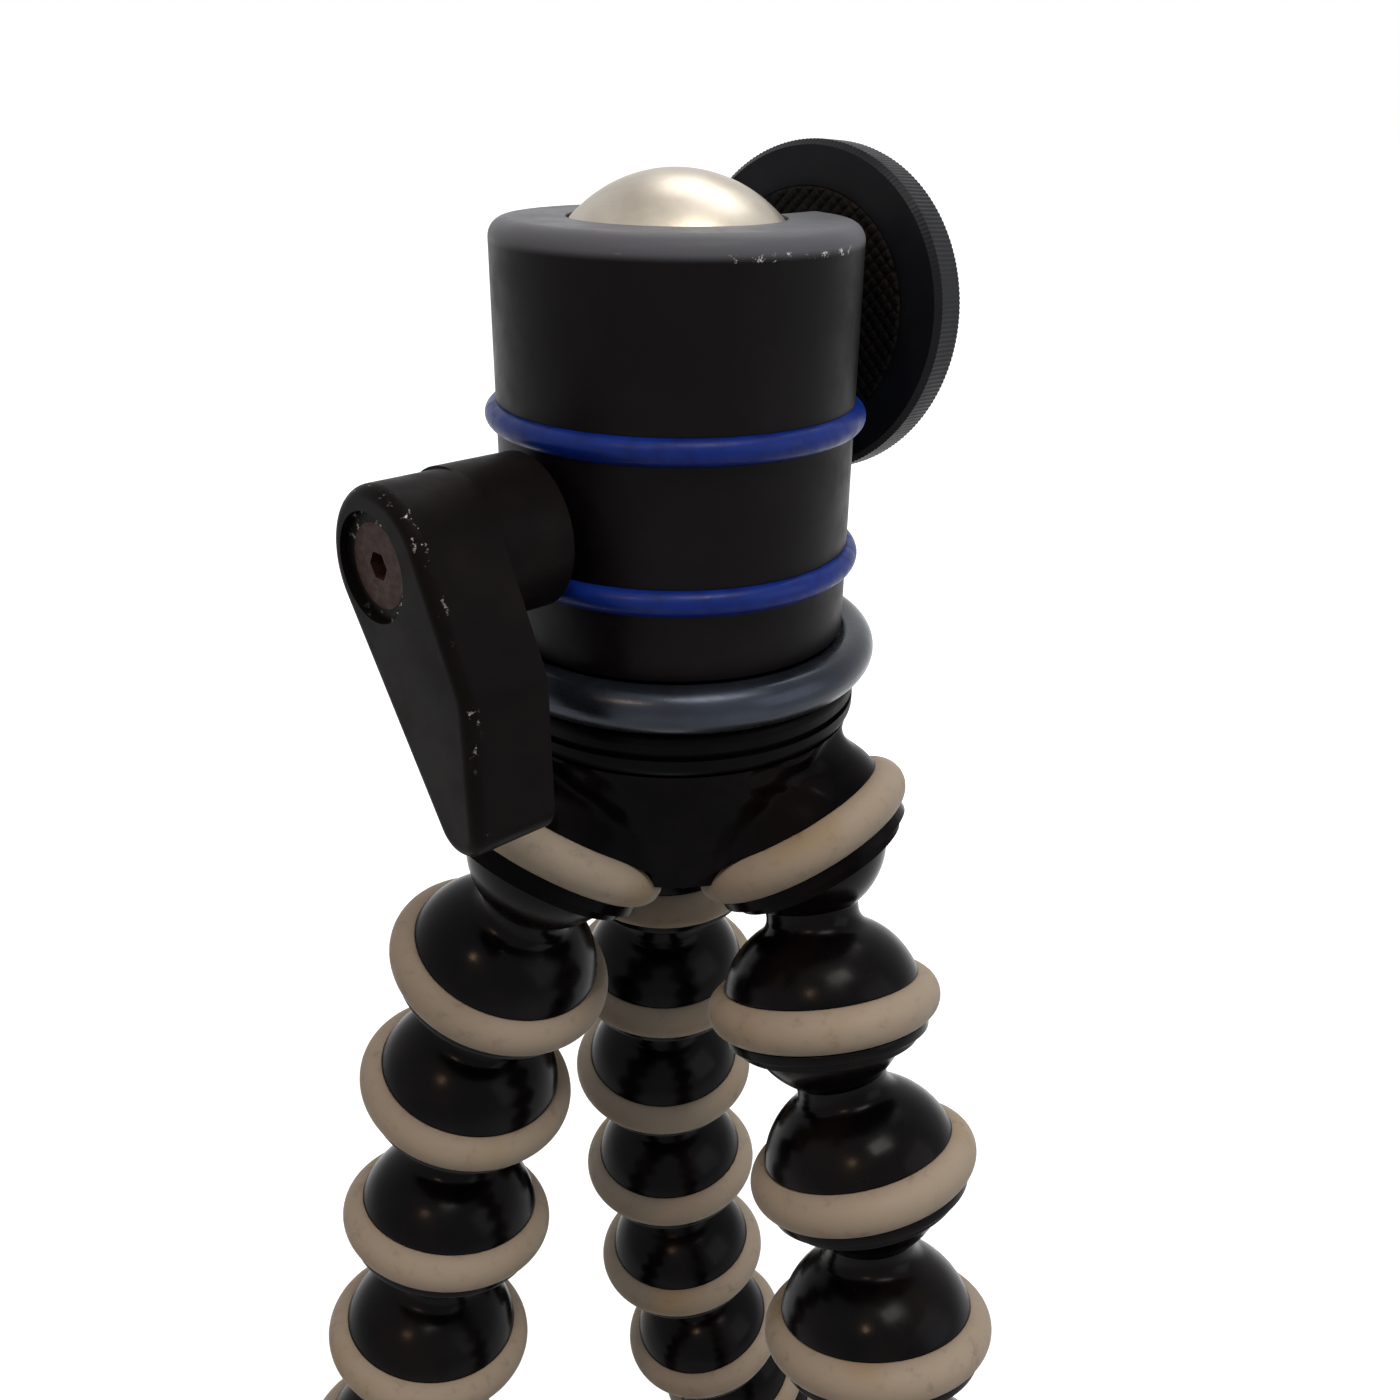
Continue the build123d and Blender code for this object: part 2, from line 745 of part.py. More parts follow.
def platform_frame():
    """Location on the platform's underside, with Z towards the camera."""
    return on_axis(ball_centre + stem_direction * platform_distance, stem_direction)


def platform_disc():
    """Round platform with recesses for its two pads and the screw's flange."""
    disc = rod(platform_radius, 0, platform_thickness)
    disc = disc.chamfer(platform_edge, None, disc.edges().filter_by(GeomType.CIRCLE))
    disc = disc - rod(stem_spigot_radius + running_clearance, -cut_overrun, platform_thickness + cut_overrun)
    pad_floor = platform_thickness - top_pad_recess
    disc = disc - rod(top_pad_radius + seat_clearance, pad_floor, platform_thickness + cut_overrun)
    flange_floor = pad_floor - camera_screw_flange_height
    disc = disc - rod(camera_screw_flange_radius + seat_clearance, flange_floor, pad_floor + cut_overrun)
    disc = disc - tube(
        under_grip_radius + seat_clearance, under_grip_bore_radius - seat_clearance,
        -cut_overrun, under_grip_recess
    )
    return only_solid(disc).moved(platform_frame())


def platform_pad():
    """Rubber ring that the camera sits on."""
    bottom = platform_thickness - top_pad_recess
    pad = tube(top_pad_radius, top_pad_bore_radius, bottom, bottom + top_pad_thickness)
    return pad.moved(platform_frame())


def under_grip():
    """Patterned ring let into the platform's underside."""
    top = under_grip_recess
    grip = tube(under_grip_radius, under_grip_bore_radius, top - under_grip_thickness, top)
    return grip.moved(platform_frame())


def camera_screw():
    """Camera screw: a thread above the pad, a flange, and a tail that turns in the stem."""
    pad_floor = platform_thickness - top_pad_recess
    pad_top = pad_floor + top_pad_thickness
    flange = rod(camera_screw_flange_radius, pad_floor - camera_screw_flange_height, pad_floor)
    thread = rod(camera_screw_radius, pad_floor - edge_round, pad_top + camera_screw_length)
    tip = thread.edges().filter_by(GeomType.CIRCLE).sort_by(Axis.Z)[-1]
    thread = thread.chamfer(edge_round, None, [tip])
    floor = pad_floor - camera_screw_flange_height
    tail = rod(camera_screw_tail_radius, floor - camera_screw_tail_length, floor + edge_round)
    return only_solid(flange + thread + tail).moved(platform_frame())


def head_parts():
    """Every node above the legs, as name to shape."""
    parts = {
        "hub_shell": hub_shell(),
        "hub_cap": hub_cap(),
        "base_screw": base_screw(),
        "base_plate": base_plate(),
        "base_washer": base_washer(),
        "lock_ring": lock_ring(),
        "head_base": head_base(),
        "housing": housing(),
        "upper_oring": oring(upper_oring_height),
        "lower_oring": oring(lower_oring_height),
        "upper_seat": upper_seat(),
        "pressure_ring": pressure_ring(),
        "ball": ball(),
        "cam_shaft": cam_shaft(),
        "shaft_bush": shaft_bush(),
        "lever": lever(),
        "lever_screw": lever_screw(),
        "platform_disc": platform_disc(),
        "platform_pad": platform_pad(),
        "under_grip": under_grip(),
        "camera_screw": camera_screw(),
    }
    for name, heading in leg_headings.items():
        parts[f"hub_grip_{name}"] = hub_grip(heading)
    return parts


def all_parts():
    """Every node in the head's own frame."""
    parts = head_parts()
    for name in leg_headings:
        parts.update(leg(name))
    return parts


def footprint_shift(parts):
    """Move that brings the middle of the footprint to the origin."""
    box = Compound(list(parts.values())).bounding_box()
    return Vector(-(box.min.X + box.max.X) / 2, -(box.min.Y + box.max.Y) / 2, -box.min.Z)


def main():
    """Build, place and write every node."""
    os.makedirs("parts", exist_ok=True)
    parts = all_parts()
    shift = Location(footprint_shift(parts))
    for name, shape in parts.items():
        export_step(shape.moved(shift), f"parts/{name}.step")
    print(f"{len(parts)} nodes written, pivots of the hub sockets at {hub_pivot_height:.2f} above the floor")


if __name__ == "__main__":
    main()
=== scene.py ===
"""Looks of a small bendable-leg camera tripod with a ball head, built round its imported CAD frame."""

import json
import logging
import math
from dataclasses import dataclass
from enum import Enum
from typing import Iterable, Sequence

import bmesh
import bpy
from mathutils import Matrix, Vector

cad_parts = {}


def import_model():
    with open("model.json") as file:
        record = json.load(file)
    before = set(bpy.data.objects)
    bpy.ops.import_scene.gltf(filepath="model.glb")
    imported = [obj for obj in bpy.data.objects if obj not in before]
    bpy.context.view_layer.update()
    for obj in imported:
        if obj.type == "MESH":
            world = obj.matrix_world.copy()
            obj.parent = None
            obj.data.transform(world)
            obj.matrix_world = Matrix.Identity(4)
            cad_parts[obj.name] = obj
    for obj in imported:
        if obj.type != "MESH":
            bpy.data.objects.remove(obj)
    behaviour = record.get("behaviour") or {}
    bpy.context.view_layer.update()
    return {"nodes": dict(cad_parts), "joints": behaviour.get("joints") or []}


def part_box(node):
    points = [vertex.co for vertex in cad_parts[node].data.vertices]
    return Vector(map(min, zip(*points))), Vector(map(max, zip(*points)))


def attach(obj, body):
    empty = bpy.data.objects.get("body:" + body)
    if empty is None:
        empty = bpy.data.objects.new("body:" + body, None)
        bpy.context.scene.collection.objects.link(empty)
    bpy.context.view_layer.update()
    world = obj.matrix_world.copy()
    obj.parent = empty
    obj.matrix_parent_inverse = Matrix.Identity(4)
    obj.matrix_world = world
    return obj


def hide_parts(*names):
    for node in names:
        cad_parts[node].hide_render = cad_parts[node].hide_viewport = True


MM = 0.001
LEVER_FACE_MM = 46.2
PLATFORM_DISTANCE_MM = 26.2
SAME_POINT_MM = 1e-4
ON_AXIS_MM = 1e-5
PARALLEL = 1e-6
SHARP_DEGREES = 42
MIX_UNDER, MIX_OVER, MIX_RESULT = 6, 7, 2

Socket = bpy.types.NodeSocket
log = logging.getLogger("tripod")


class Leg(Enum):
    """The three legs, by the side they stand on in the photographed view."""

    LEFT = "left"
    RIGHT = "right"
    BACK = "back"


def colour(text: str) -> tuple[float, float, float, float]:
    """Turn an sRGB hex colour into the linear colour that Blender takes.

    Args:
        text: six hex digits after a hash sign.

    Returns:
        Red, green, blue and alpha, linear.
    """
    channels = [int(text[i : i + 2], 16) / 255 for i in (1, 3, 5)]
    linear = [c / 12.92 if c <= 0.04045 else ((c + 0.055) / 1.055) ** 2.4 for c in channels]
    return (linear[0], linear[1], linear[2], 1.0)


def per_mm(size: float) -> float:
    """Scale of a pattern whose features are this many millimetres apart."""
    return 1.0 / (size * MM)


def add(
    tree: bpy.types.NodeTree, kind: str, inputs: dict[str | int, object] | None = None, **settings: object
) -> bpy.types.Node:
    """Add a node with its settings, values and links.

    Args:
        tree: node tree that gets the node.
        kind: Blender's type name of the node.
        inputs: input name or number to its value, or to the socket that feeds it.
        **settings: properties of the node.

    Returns:
        The new node.
    """
    node = tree.nodes.new(kind)
    for key, value in settings.items():
        setattr(node, key, value)
    for key, value in (inputs or {}).items():
        if isinstance(value, Socket):
            tree.links.new(value, node.inputs[key])
        else:
            node.inputs[key].default_value = value
    return node


@dataclass(frozen=True)
class Grain:
    """An irregular pattern.

    Its numbers are the distance between features in millimetres, the octaves, the weight of the finer
    octaves, and a seed that makes two patterns differ.
    """

    size: float
    detail: float = 2.0
    rough: float = 0.5
    seed: float = 0.0

    def inputs(self, place: Socket) -> dict[str | int, object]:
        """Inputs of the noise that draws the pattern at a place."""
        spread = {"Scale": per_mm(self.size), "Detail": self.detail, "Roughness": self.rough}
        return {"Vector": place, "W": self.seed, **spread}


@dataclass(frozen=True)
class Step:
    """A smooth step of a value: where it begins and ends, and the results below and above."""

    low: float
    high: float
    start: float = 0.0
    end: float = 1.0

    def inputs(self, value: Socket) -> dict[str | int, object]:
        """Inputs of the range that maps the value."""
        results = {"To Min": self.start, "To Max": self.end}
        return {"Value": value, "From Min": self.low, "From Max": self.high, **results}


class Surface:
    """One Principled material in the making, with its patterns in real millimetres."""

    def __init__(self, name: str) -> None:
        """Start an empty material.

        Args:
            name: the material's name.
        """
        self.material = bpy.data.materials.new(name)
        self.material.use_nodes = True
        self.tree = self.material.node_tree
        self.tree.nodes.clear()
        self.shader = add(self.tree, "ShaderNodeBsdfPrincipled")
        add(self.tree, "ShaderNodeOutputMaterial", {"Surface": self.shader.outputs["BSDF"]})
        self.place = add(self.tree, "ShaderNodeTexCoord").outputs["Object"]

    def set(self, **values: float) -> None:
        """Set values on the shader's own sockets, with spaces written as underscores."""
        for key, value in values.items():
            self.shader.inputs[key.replace("_", " ")].default_value = value

    def feed(self, name: str, socket: Socket) -> None:
        """Link a socket into the shader."""
        self.tree.links.new(socket, self.shader.inputs[name])

    def patches(self, grain: Grain, step: Step) -> Socket:
        """Turn a pattern into patches with soft borders.

        Args:
            grain: the pattern.
            step: how its values become patches.

        Returns:
            The patches' value.
        """
        noise = add(self.tree, "ShaderNodeTexNoise", grain.inputs(self.place), noise_dimensions="4D")
        mapped = step.inputs(noise.outputs["Fac"])
        return add(self.tree, "ShaderNodeMapRange", mapped, interpolation_type="SMOOTHSTEP").outputs["Result"]

    def along(self, axis: Vector, origin: Vector) -> Socket:
        """Distance along an axis, in metres.

        Args:
            axis: unit vector.
            origin: point where the distance is zero.

        Returns:
            The distance.
        """
        dot = add(self.tree, "ShaderNodeVectorMath", {0: self.place, 1: axis}, operation="DOT_PRODUCT")
        terms = {0: dot.outputs["Value"], 1: axis.dot(origin)}
        return add(self.tree, "ShaderNodeMath", terms, operation="SUBTRACT").outputs[0]

    def reach(self, axis: Vector, origin: Vector, step: Step) -> Socket:
        """Fade in along an axis.

        Args:
            axis: unit vector.
            origin: point where the distance is zero.
            step: how the distance in millimetres becomes the share.

        Returns:
            The share.
        """
        metres = Step(step.low * MM, step.high * MM, step.start, step.end)
        mapped = metres.inputs(self.along(axis, origin))
        return add(self.tree, "ShaderNodeMapRange", mapped, interpolation_type="SMOOTHSTEP").outputs["Result"]

    def paint(self, base: str, *layers: tuple[Socket, str]) -> None:
        """Lay colours over one another and feed them to the shader.

        Args:
            base: hex colour that lies lowest.
            *layers: share and hex colour of each layer, from the lowest up.
        """
        under = colour(base)
        for amount, over in layers:
            mix = {"Factor": amount, MIX_UNDER: under, MIX_OVER: colour(over)}
            under = add(self.tree, "ShaderNodeMix", mix, data_type="RGBA").outputs[MIX_RESULT]
        self.feed("Base Color", under)

    def relief(self, grain: Grain, depth: float, under: Socket | None = None) -> Socket:
        """Raise the surface by a pattern.

        Args:
            grain: the pattern.
            depth: its height in millimetres.
            under: normal of a coarser relief below this one.

        Returns:
            The raised normal.
        """
        noise = add(self.tree, "ShaderNodeTexNoise", grain.inputs(self.place), noise_dimensions="4D")
        inputs = {"Height": noise.outputs["Fac"], "Strength": 1.0, "Distance": depth * MM}
        if under is not None:
            inputs["Normal"] = under
        normal = add(self.tree, "ShaderNodeBump", inputs).outputs["Normal"]
        self.feed("Normal", normal)
        return normal


@dataclass(frozen=True)
class MouldedPlastic:
    """Glossy black plastic from a polished mould: deep black with soft, slightly wavy lamp shapes."""

    name: str = "moulded_black_plastic"
    base: str = "#040304"
    warm: str = "#0e0909"
    dust: str = "#24211f"
    gloss: float = 0.07
    index: float = 1.45
    clouds: Grain = Grain(9, 3)
    specks: Grain = Grain(0.5, 2, 0.6, 3)
    polish: Grain = Grain(5, 4, 0.6, 1)
    wave: Grain = Grain(7, 1, 0.4, 5)
    grain: Grain = Grain(0.35, 2, 0.5, 7)

    def material(self) -> bpy.types.Material:
        """Build the material.

        Returns:
            The material.
        """
        s = Surface(self.name)
        s.set(Specular_IOR_Level=self.gloss, IOR=self.index)
        clouds = s.patches(self.clouds, Step(0.35, 0.7))
        specks = s.patches(self.specks, Step(0.66, 0.78, 0.0, 0.35))
        s.paint(self.base, (clouds, self.warm), (specks, self.dust))
        s.feed("Roughness", s.patches(self.polish, Step(0.3, 0.75, 0.16, 0.32)))
        # The polished skin's own grain is too fine to show, so it is drawn coarser.
        s.relief(self.grain, depth=0.003, under=s.relief(self.wave, depth=0.015))
        return s.material


@dataclass(frozen=True)
class GripRubber:
    """Beige moulded rubber, handled until it yellowed in patches: matt, with fine grain and grey dirt."""

    name: str = "beige_grip_rubber"
    base: str = "#968877"
    yellowed: str = "#8b7756"
    dirt: str = "#665a4e"
    gloss: float = 0.12
    age: Grain = Grain(14, 2, 0.5, 2)
    grime: Grain = Grain(2.2, 5, 0.65, 4)
    wiped: Grain = Grain(4, 3, 0.5, 6)
    swell: Grain = Grain(3, 2, 0.5, 8)
    grain: Grain = Grain(0.25, 2, 0.5, 9)

    def material(self) -> bpy.types.Material:
        """Build the material.

        Returns:
            The material.
        """
        s = Surface(self.name)
        s.set(Specular_IOR_Level=self.gloss)
        age = s.patches(self.age, Step(0.55, 0.76, 0.0, 0.65))
        grime = s.patches(self.grime, Step(0.52, 0.75, 0.0, 0.45))
        s.paint(self.base, (age, self.yellowed), (grime, self.dirt))
        s.feed("Roughness", s.patches(self.wiped, Step(0.3, 0.7, 0.48, 0.66)))
        # The mould's grain is too fine to show, so it is drawn coarser.
        s.relief(self.grain, depth=0.012, under=s.relief(self.swell, depth=0.02))
        return s.material


@dataclass(frozen=True)
class DyedRubber:
    """Moulded rubber dyed right through: even colour, soft highlight, faint mould grain."""

    name: str
    base: str
    shade: str
    rough: float = 0.4
    gloss: float = 0.14
    clouds: Grain = Grain(2.5, 4, 0.6, 2)
    wiped: Grain = Grain(1.5, 3, 0.5, 4)
    grain: Grain = Grain(0.2, 2, 0.5, 6)

    def material(self) -> bpy.types.Material:
        """Build the material.

        Returns:
            The material.
        """
        s = Surface(self.name)
        s.set(Specular_IOR_Level=self.gloss)
        s.paint(self.base, (s.patches(self.clouds, Step(0.4, 0.7)), self.shade))
        s.feed("Roughness", s.patches(self.wiped, Step(0.3, 0.7, self.rough - 0.06, self.rough + 0.12)))
        # The mould's grain is too fine to show, so it is drawn coarser.
        s.relief(self.grain, depth=0.006)
        return s.material


@dataclass(frozen=True)
class AnodisedAluminium:
    """Aluminium blasted fine and anodised: satin, with a fine even grain and faint handling marks."""

    name: str
    base: str
    shade: str
    rough: float = 0.38
    metal: float = 0.0
    gloss: float = 0.06
    grain: Grain = Grain(0.14, 2, 0.5, 5)
    depth: float = 0.008
    clouds: Grain = Grain(11, 4, 0.6, 1)
    handled: Grain = Grain(6, 5, 0.65, 3)

    def surface(self) -> Surface:
        """Build the plain finish without its colour, before any wear is added.

        Returns:
            The surface.
        """
        s = Surface(self.name)
        s.set(Metallic=self.metal, Specular_IOR_Level=self.gloss)
        s.feed("Roughness", s.patches(self.handled, Step(0.3, 0.75, self.rough - 0.05, self.rough + 0.1)))
        # The blasted grain is too fine to show, so it is drawn coarser.
        s.relief(self.grain, self.depth)
        return s

    def shading(self, s: Surface) -> tuple[Socket, str]:
        """The coat's uneven layer: its share and its colour."""
        return s.patches(self.clouds, Step(0.4, 0.7)), self.shade

    def material(self) -> bpy.types.Material:
        """Build the material.

        Returns:
            The material.
        """
        s = self.surface()
        s.paint(self.base, self.shading(s))
        return s.material


@dataclass(frozen=True)
class ChippedCoat:
    """Black coat that knocks have chipped off along one edge, so the pale metal shows in small flakes.

    The flakes lie between two depths under the edge, below and above, and towards the side vector where
    there is one. From the lower depth upwards the coat fades to a lighter tone, which is partly rubbing wear
    and partly a painted sheen of light from above. Lengths are in millimetres.
    """

    coat: AnodisedAluminium
    axis: Vector
    edge: Vector
    below: float
    above: float
    soft: float = 0.3
    flake: float = 0.9
    cluster: float = 9.0
    amount: float = 0.55
    border: float = 0.04
    side: Vector | None = None
    side_reach: Step = Step(4, 12)
    bare: str = "#a8a49b"
    # Lighter top tone: partly rubbing wear, partly a painted sheen of light from above.
    rubbed: str = "#5a5b60"
    rub: float = 0.0
    rub_and_sheen_fade: float = 1.1

    def material(self) -> bpy.types.Material:
        """Build the material.

        Returns:
            The material.
        """
        s = self.coat.surface()
        shading = self.coat.shading(s)
        shares = [
            s.reach(self.axis, self.edge, Step(-self.below, self.soft - self.below)),
            s.reach(self.axis, self.edge, Step(-self.above - self.soft, -self.above, 1.0, 0.0)),
            s.patches(Grain(self.flake, 6, 0.7, 11), Step(self.amount, self.amount + self.border)),
            s.patches(Grain(self.cluster * self.flake, 2, 0.5, 12), Step(0.45, 0.55)),
        ]
        if self.side is not None:
            shares.append(s.reach(self.side, self.edge, self.side_reach))
        wear = shares[0]
        for share in shares[1:]:
            wear = add(s.tree, "ShaderNodeMath", {0: wear, 1: share}, operation="MULTIPLY").outputs[0]
        # Painted sheen: towards the top of the edge the colour lightens as if lit from above, mixed with
        # rubbing wear.
        rub = s.reach(self.axis, self.edge, Step(-self.below, self.rub_and_sheen_fade - self.below, 0.0, self.rub))
        s.paint(self.coat.base, shading, (rub, self.rubbed), (wear, self.bare))
        s.feed("Metallic", wear)
        return s.material


@dataclass(frozen=True)
class TurnedNickel:
    """Satin nickel on a turned ball: fine rings round its stem that spread the lamp into a soft streak."""

    axis: Vector
    centre: Vector
    name: str = "satin_nickel"
    base: str = "#b1a99c"
    shade: str = "#a0978a"
    clouds: Grain = Grain(8, 4, 0.6, 1)
    mark: float = 0.18
    mark_depth: float = 0.004

    def material(self) -> bpy.types.Material:
        """Build the material.

        Returns:
            The material.
        """
        s = Surface(self.name)
        s.set(Metallic=1.0)
        s.paint(self.base, (s.patches(self.clouds, Step(0.35, 0.7)), self.shade))
        # Turning marks are too fine to show, so they are drawn wider.
        spread = {"Scale": per_mm(self.mark), "Detail": 3.0, "Roughness": 0.7}
        noise = {"W": s.along(self.axis, self.centre), **spread}
        rings = add(s.tree, "ShaderNodeTexNoise", noise, noise_dimensions="1D").outputs["Fac"]
        mapped = Step(0.3, 0.7, 0.3, 0.42).inputs(rings)
        rough = add(s.tree, "ShaderNodeMapRange", mapped, interpolation_type="SMOOTHSTEP")
        s.feed("Roughness", rough.outputs["Result"])
        marks = {"Height": rings, "Strength": 1.0, "Distance": self.mark_depth * MM}
        bump = add(s.tree, "ShaderNodeBump", marks)
        s.feed("Normal", bump.outputs["Normal"])
        return s.material


@dataclass(frozen=True)
class WornSteel:
    """Steel of a screw: turned or blackened, rubbed brighter where the key and fingers reach."""

    name: str
    base: str
    rubbed: str
    rough: float = 0.4
    metal: float = 0.8
    gloss: float = 0.5
    rub: Grain = Grain(1.6, 5, 0.65, 1)
    handled: Grain = Grain(0.8, 4, 0.6, 3)
    grain: Grain = Grain(0.25, 3, 0.6, 5)

    def material(self) -> bpy.types.Material:
        """Build the material.

        Returns:
            The material.
        """
        s = Surface(self.name)
        s.set(Metallic=self.metal, Specular_IOR_Level=self.gloss)
        s.paint(self.base, (s.patches(self.rub, Step(0.45, 0.7)), self.rubbed))
        s.feed("Roughness", s.patches(self.handled, Step(0.3, 0.7, self.rough - 0.08, self.rough + 0.12)))
        # The turned grain is too fine to show, so it is drawn coarser.
        s.relief(self.grain, depth=0.008)
        return s.material


class Outline:
    """Half section of a turned piece, drawn in millimetres with X outwards and Z along the axis."""

    def __init__(self, radius: float, height: float) -> None:
        """Start at a point, given by its distance from the axis and its height."""
        self.mesh = bmesh.new()
        self.last = self.mesh.verts.new((radius, 0, height))

    def to(self, radius: float, height: float, steps: int = 1) -> "Outline":
        """Draw a straight line to a point.

        Args:
            radius: the point's distance from the axis.
            height: the point's height.
            steps: edges on the line.

        Returns:
            The outline, so that calls chain.
        """
        start = self.last.co.copy()
        end = Vector((radius, 0, height))
        for i in range(1, steps + 1):
            new = self.mesh.verts.new(start.lerp(end, i / steps))
            self.mesh.edges.new((self.last, new))
            self.last = new
        return self

    def turn(self, radius: float, height: float, degrees: float, steps: int = 12) -> "Outline":
        """Sweep the last point round a centre; positive goes from +Z towards +X.

        Args:
            radius: centre's distance from the axis.
            height: centre's height.
            degrees: angle of the sweep.
            steps: points on the arc.

        Returns:
            The outline, so that calls chain.
        """
        made = bmesh.ops.spin(
            self.mesh, geom=[self.last], cent=(radius, 0, height), axis=(0, 1, 0),
            angle=math.radians(degrees), steps=steps, use_merge=False,
        )
        self.last = [g for g in made["geom_last"] if isinstance(g, bmesh.types.BMVert)][0]
        return self

    def through(self, middle: tuple[float, float], end: tuple[float, float], steps: int = 12) -> "Outline":
        """Draw an arc through a middle point to an end point.

        Args:
            middle: radius and height of a point half way.
            end: radius and height of the end.
            steps: points on the arc.

        Returns:
            The outline, so that calls chain.
        """
        a, b, c = Vector((self.last.co.x, self.last.co.z)), Vector(middle), Vector(end)
        d = 2 * (a.x * (b.y - c.y) + b.x * (c.y - a.y) + c.x * (a.y - b.y))
        aa, bb, cc = (point.length_squared for point in (a, b, c))
        x = (aa * (b.y - c.y) + bb * (c.y - a.y) + cc * (a.y - b.y)) / d
        y = (aa * (c.x - b.x) + bb * (a.x - c.x) + cc * (b.x - a.x)) / d
        first = math.atan2(a.x - x, a.y - y)
        last = math.atan2(c.x - x, c.y - y)
        swing = (last - first + math.pi) % math.tau - math.pi
        self.turn(x, y, math.degrees(swing), steps)
        self.last.co = (c.x, 0, c.y)
        return self

    def soften(self, size: float, least: float = 35.0) -> "Outline":
        """Round every corner sharper than an angle.

        Args:
            size: offset of the rounding in millimetres.
            least: corners that bend less than this many degrees stay.

        Returns:
            The outline, so that calls chain.
        """
        corners = []
        for v in self.mesh.verts:
            if len(v.link_edges) == 2 and v.co.x > size:
                a, b = (e.other_vert(v).co - v.co for e in v.link_edges)
                if a.length > 0 and b.length > 0 and math.degrees(math.pi - a.angle(b)) > least:
                    corners.append(v)
        bmesh.ops.bevel(
            self.mesh, geom=corners, offset=size, segments=3, profile=0.5, affect="VERTICES",
            clamp_overlap=True, material=-1,
        )
        return self

    def spun(self, steps: int = 96) -> bmesh.types.BMesh:
        """Spin the outline into a closed body round Z.

        Args:
            steps: faces round the axis.

        Returns:
            The body's bmesh.
        """
        mesh = self.mesh
        for v in mesh.verts:
            if abs(v.co.x) < ON_AXIS_MM:
                v.co.x = 0.0
        bmesh.ops.spin(
            mesh, geom=mesh.verts[:] + mesh.edges[:], cent=(0, 0, 0), axis=(0, 0, 1),
            angle=math.tau, steps=steps, use_merge=True,
        )
        bmesh.ops.remove_doubles(mesh, verts=mesh.verts, dist=SAME_POINT_MM)
        bmesh.ops.recalc_face_normals(mesh, faces=mesh.faces)
        return mesh


def finished(
    mesh: bmesh.types.BMesh, name: str, place: Matrix, material: bpy.types.Material
) -> bpy.types.Object:
    """Turn a bmesh in millimetres into a smooth-shaded object with its place in its mesh.

    Args:
        mesh: the shape, freed here.
        name: the object's name.
        place: where it goes, in metres.
        material: its finish.

    Returns:
        The new object.
    """
    bmesh.ops.transform(mesh, matrix=place @ Matrix.Scale(MM, 4), verts=mesh.verts)
    data = bpy.data.meshes.new(name)
    mesh.to_mesh(data)
    mesh.free()
    data.materials.append(material)
    data.shade_smooth()
    data.set_sharp_from_angle(angle=math.radians(SHARP_DEGREES))
    piece = bpy.data.objects.new(name, data)
    bpy.context.scene.collection.objects.link(piece)
    return piece


def facing(origin: Vector, axis: Vector, up: Vector = Vector((0, 0, 1))) -> Matrix:
    """Place whose Z runs along an axis.

    Args:
        origin: the place's origin.
        axis: direction of its Z.
        up: direction that its Y leans to.

    Returns:
        The matrix.
    """
    z = axis.normalized()
    x = up.cross(z)
    x = Vector((1, 0, 0)) if x.length < PARALLEL else x.normalized()
    y = z.cross(x)
    return Matrix.Translation(origin) @ Matrix((x, y, z)).transposed().to_4x4()


